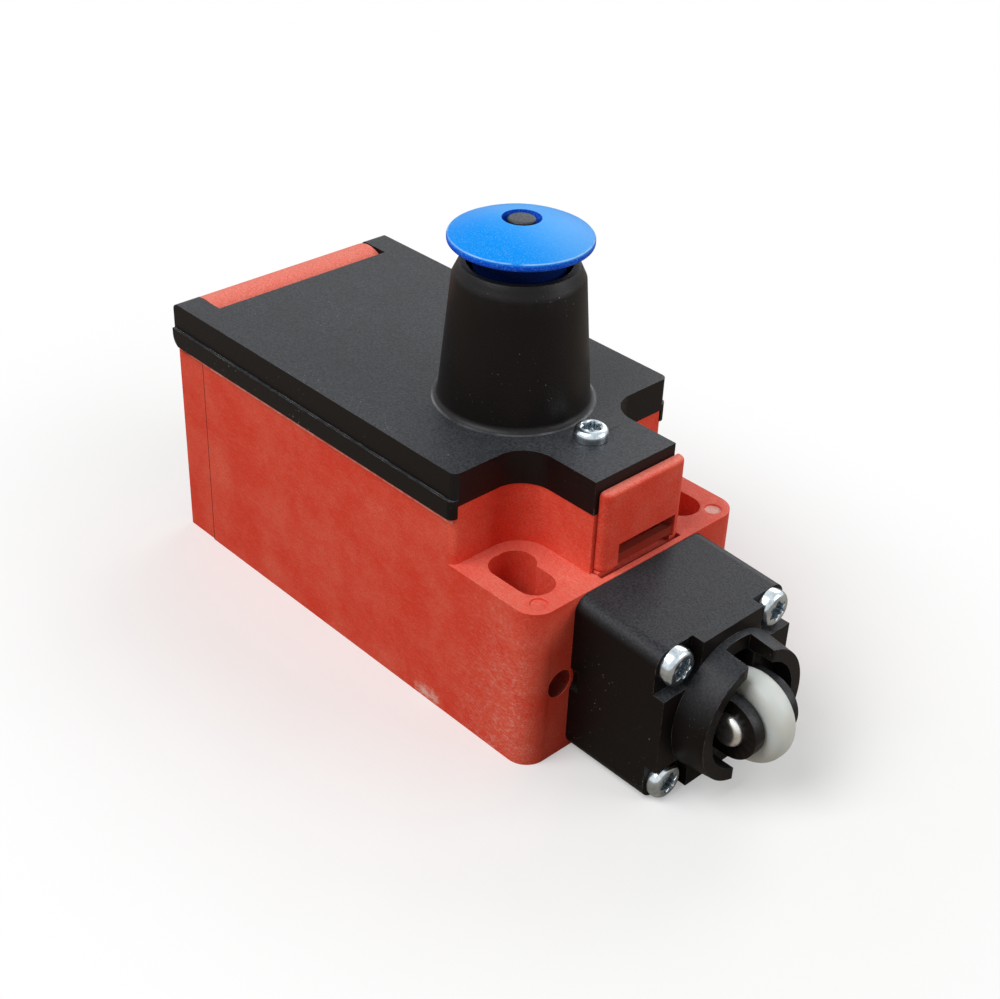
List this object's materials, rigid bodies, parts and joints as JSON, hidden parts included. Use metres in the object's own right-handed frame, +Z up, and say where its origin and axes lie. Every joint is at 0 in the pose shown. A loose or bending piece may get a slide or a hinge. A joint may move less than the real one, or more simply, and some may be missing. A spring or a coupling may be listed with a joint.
{
  "type": "roller plunger limit switch with reset knob",
  "caption": "Safety limit switch with a red moulded body, hinged black cover, pull-to-reset knob and a roller plunger head that drives contact bridges inside",
  "frame": {"origin": "on the mounting face, midway between the two fixing slots", "axes": "+X along the plunger towards the roller, +Y across the body, +Z up from the mounting face to the cover"},
  "size_m": [0.0821, 0.0318, 0.0507],
  "materials": {
    "red_plastic": "moulded glass-filled polyamide, fine satin grain",
    "black_plastic": "moulded glass-filled polyamide, fine matte grain",
    "head_black": "moulded polyamide, fine matte grain",
    "blue_plastic": "moulded acetal, satin",
    "stem_black": "moulded acetal, satin",
    "white_acetal": "turned acetal, milky and slightly glossy",
    "zinc_steel": "bright zinc plate",
    "pin_steel": "drawn and riveted steel",
    "spring_steel": "drawn spring wire",
    "contact_brass": "stamped strip, silver-flashed at the contacts",
    "grey_plastic": "moulded contact block, satin",
    "white_plastic": "moulded slider, satin",
    "seal_rubber": "moulded nitrile rubber"
  },
  "bodies": {
    "switch_body": {"housing": "red_plastic", "cover_gasket": "seal_rubber", "head_body": "head_black", "head_neck": "head_black", "neck_seal": "seal_rubber", "head_screws": "zinc_steel", "plunger_spring": "spring_steel", "contact_base": "grey_plastic", "contact_lid": "grey_plastic", "opening_contacts": "contact_brass", "closing_contacts": "contact_brass", "clamp_plates": "zinc_steel", "terminal_screws": "zinc_steel", "block_screws": "zinc_steel", "slider_spring": "spring_steel"},
    "lid": {"cover": "black_plastic", "cover_screw": "zinc_steel", "stem_guide": "white_plastic", "reset_spring": "spring_steel"},
    "reset": {"reset_knob": "blue_plastic", "reset_stem": "stem_black"},
    "lock": {"head_lock": "red_plastic"},
    "actuator": {"plunger": "head_black", "roller_pin": "pin_steel", "push_rod": "white_plastic"},
    "roller_wheel": {"roller": "white_acetal"},
    "carrier": {"contact_slider": "white_plastic", "front_bridge": "contact_brass", "rear_bridge": "contact_brass"}
  },
  "joints": [
    {"name": "cover_swing", "type": "hinge", "parent": "switch_body", "child": "lid", "pos_m": [-0.0524, 0, 0.0266], "axis": [0, -1, 0], "range_deg": [0, 80]},
    {"name": "reset_pull", "type": "slide", "parent": "lid", "child": "reset", "axis": [0, 0, 1], "range_m": [0, 0.0035], "stiffness_N_per_m": 1500, "springref_m": -0.003, "deforming": ["reset_spring"]},
    {"name": "lock_lift", "type": "slide", "parent": "switch_body", "child": "lock", "axis": [0, 0, 1], "range_m": [0, 0.006]},
    {"name": "plunger_press", "type": "slide", "parent": "switch_body", "child": "actuator", "axis": [-1, 0, 0], "range_m": [0, 0.004], "stiffness_N_per_m": 2000, "springref_m": -0.004, "deforming": ["plunger_spring"]},
    {"name": "roller_spin", "type": "hinge", "parent": "actuator", "child": "roller_wheel", "pos_m": [0.0222, 0, 0.0094], "axis": [0, 1, 0], "continuous": true},
    {"name": "slider_travel", "type": "slide", "parent": "switch_body", "child": "carrier", "axis": [-1, 0, 0], "range_m": [0, 0.004], "deforming": ["slider_spring"]}
  ],
  "couplings": [
    {"joint": "slider_travel", "follows": "plunger_press", "ratio": 1}
  ]
}
